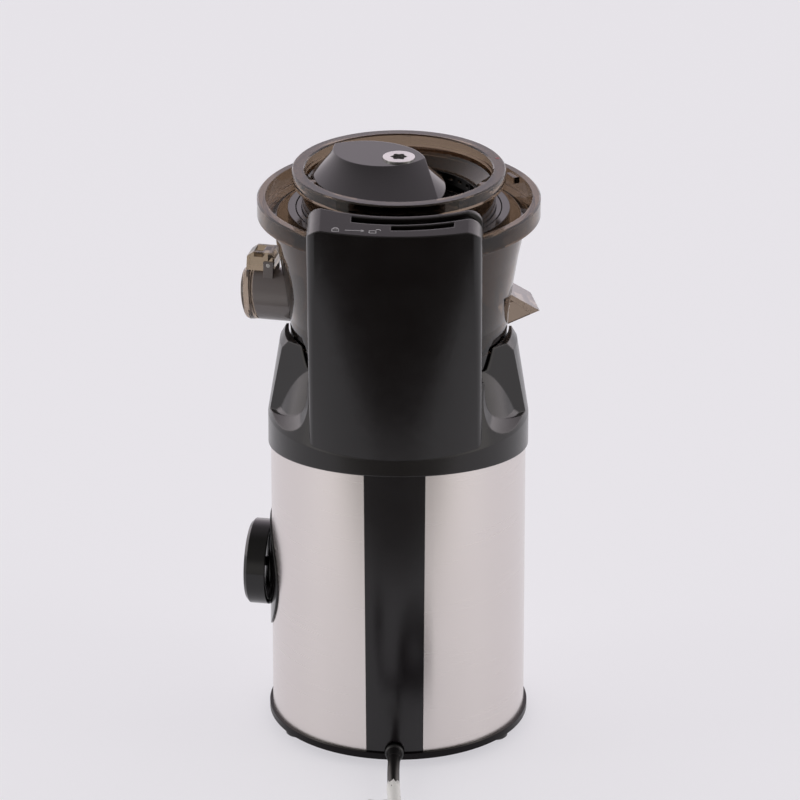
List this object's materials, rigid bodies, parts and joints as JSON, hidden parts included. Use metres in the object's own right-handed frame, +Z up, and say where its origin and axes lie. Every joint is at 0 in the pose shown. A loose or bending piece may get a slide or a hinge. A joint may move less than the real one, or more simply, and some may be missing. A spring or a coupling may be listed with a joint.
{
  "type": "cold press juicer",
  "caption": "Vertical cold press juicer: brushed steel drum base with side knob, black back column, smoky bowl with spout, strainer, brush carriage, auger, and a coiled mains cord.",
  "frame": {"origin": "on the table, under the middle of the round base", "axes": "+Z up; the column stands at the back, towards -Y; the juice spout points towards -X"},
  "size_m": [0.2027, 0.3961, 0.3657],
  "materials": {
    "black_gloss": "glossy moulded",
    "black_satin": "satin moulded",
    "grey_trim": "dark grey, glossy",
    "brushed_steel": "brushed round the sleeve",
    "plain_steel": "turned",
    "smoky_clear": "tinted clear plastic",
    "black_rubber": "matt",
    "grey_silicone": "matt",
    "copper_wire": "enamelled",
    "white_nylon": "satin",
    "green_board": "lacquered",
    "grey_zinc": "zinc plated",
    "white_paper": "matt paper",
    "auger_grey": "satin, dark grey"
  },
  "bodies": {
    "base": {"base_plate": "black_satin", "rubber_feet": "black_rubber", "steel_sleeve": "brushed_steel", "back_strip": "black_gloss", "cord_grommet": "black_rubber", "knob_bezel": "black_gloss", "rotary_switch": "black_satin", "support_posts": "grey_zinc", "mount_plate": "grey_zinc", "motor_can": "grey_zinc", "motor_end_cap": "grey_zinc", "motor_stator": "plain_steel", "stator_windings": "copper_wire", "motor_bearings": "plain_steel", "gearbox_case": "white_nylon", "gearbox_cover": "white_nylon", "gearbox_screws": "plain_steel", "gear_pin": "plain_steel", "drive_bearings": "plain_steel", "shaft_seal": "grey_silicone", "control_board": "green_board", "run_capacitor": "grey_zinc", "base_screws": "plain_steel", "upper_housing": "black_gloss", "column_cover": "black_satin", "interlock_bracket": "white_nylon", "interlock_spring": "plain_steel", "interlock_switch": "black_satin", "mains_cord": "black_rubber", "cord_coil": "black_rubber", "cord_tail": "black_rubber", "mains_plug": "black_rubber", "cord_tag": "white_paper"},
    "knob": {"control_knob": "black_gloss"},
    "drive": {"drive_shaft": "plain_steel", "output_gear": "white_nylon"},
    "layshaft": {"reduction_gear": "white_nylon"},
    "rotor": {"motor_rotor": "plain_steel", "motor_shaft": "plain_steel", "cooling_fan": "black_satin"},
    "plunger": {"interlock_plunger": "white_nylon"},
    "bowl_set": {"bowl": "smoky_clear", "bowl_base_ring": "black_gloss", "bowl_centre_seal": "grey_silicone", "spout_sleeve": "grey_trim", "spout_pin": "plain_steel", "pulp_chute": "smoky_clear", "pulp_plug": "grey_silicone"},
    "spout_gate": {"spout_cap": "smoky_clear", "spout_seal": "grey_silicone", "spout_lever": "smoky_clear"},
    "brush_set": {"brush_carriage": "black_satin", "brush_wipers": "grey_silicone"},
    "idler": {"brush_idler": "white_nylon"},
    "strainer_set": {"strainer_frame": "black_satin", "strainer_mesh": "plain_steel", "strainer_collar": "smoky_clear"},
    "auger_set": {"auger": "auger_grey", "auger_bush": "plain_steel", "auger_socket": "plain_steel"}
  },
  "joints": [
    {"name": "knob_turn", "type": "hinge", "parent": "base", "child": "knob", "pos_m": [0, 0, 0.0963], "axis": [-0.989, 0.1478, 0], "range_deg": [-45, 45]},
    {"name": "drive_spin", "type": "hinge", "parent": "base", "child": "drive", "pos_m": [0, 0.012, 0.2], "axis": [0, 0, 1], "continuous": true},
    {"name": "lay_spin", "type": "hinge", "parent": "base", "child": "layshaft", "pos_m": [0, -0.033, 0.16], "axis": [0, 0, 1], "continuous": true},
    {"name": "rotor_spin", "type": "hinge", "parent": "base", "child": "rotor", "pos_m": [0, -0.0042, 0.1], "axis": [0, 0, 1], "continuous": true},
    {"name": "bowl_lift", "type": "slide", "parent": "base", "child": "bowl_set", "axis": [0, 0, 1], "range_m": [0, 0.08]},
    {"name": "brush_spin", "type": "hinge", "parent": "bowl_set", "child": "brush_set", "pos_m": [0, 0.012, 0.3], "axis": [0, 0, 1], "continuous": true},
    {"name": "idler_spin", "type": "hinge", "parent": "bowl_set", "child": "idler", "pos_m": [0, 0.04125, 0.26], "axis": [0, 0, 1], "continuous": true},
    {"name": "spout_gate_swing", "type": "hinge", "parent": "bowl_set", "child": "spout_gate", "pos_m": [-0.07824, 0.02721, 0.2912], "axis": [0.1908, 0.9816, 0], "range_deg": [0, 80]},
    {"name": "strainer_lift", "type": "slide", "parent": "bowl_set", "child": "strainer_set", "axis": [0, 0, 1], "range_m": [0, 0.1]},
    {"name": "auger_spin", "type": "hinge", "parent": "strainer_set", "child": "auger_set", "pos_m": [0, 0.012, 0.3], "axis": [0, 0, 1], "continuous": true},
    {"name": "interlock_press", "type": "slide", "parent": "base", "child": "plunger", "axis": [0, 0, -1], "range_m": [0, 0.004], "stiffness_N_per_m": 300, "deforming": ["interlock_spring"]}
  ],
  "couplings": [
    {"joint": "lay_spin", "follows": "drive_spin", "ratio": -5},
    {"joint": "rotor_spin", "follows": "drive_spin", "ratio": 25},
    {"joint": "auger_spin", "follows": "drive_spin", "ratio": 1},
    {"joint": "idler_spin", "follows": "drive_spin", "ratio": -0.56},
    {"joint": "brush_spin", "follows": "drive_spin", "ratio": -0.21875}
  ]
}
